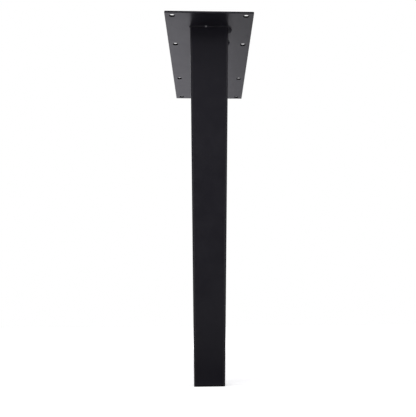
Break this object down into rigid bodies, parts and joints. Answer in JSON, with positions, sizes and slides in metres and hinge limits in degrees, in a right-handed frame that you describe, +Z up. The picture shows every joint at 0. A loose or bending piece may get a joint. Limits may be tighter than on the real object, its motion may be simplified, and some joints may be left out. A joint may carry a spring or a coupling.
{
  "type": "square metal table leg",
  "caption": "Black square tapered steel table leg welded under a long flat screw plate, with a plastic plug in its foot.",
  "frame": {"origin": "centre of the mounting plate's top face, which lies against the underside of the table", "axes": "+Z up out of the plate's top face, +Y along the plate away from the tube, +X across the plate"},
  "size_m": [0.18, 0.5, 0.735],
  "materials": {
    "black_powder_coat": "satin",
    "black_plastic": "matt"
  },
  "bodies": {
    "root": {"mounting_plate": "black_powder_coat", "leg_tube": "black_powder_coat", "front_weld": "black_powder_coat", "rear_weld": "black_powder_coat", "foot_plug": "black_plastic"}
  },
  "joints": []
}
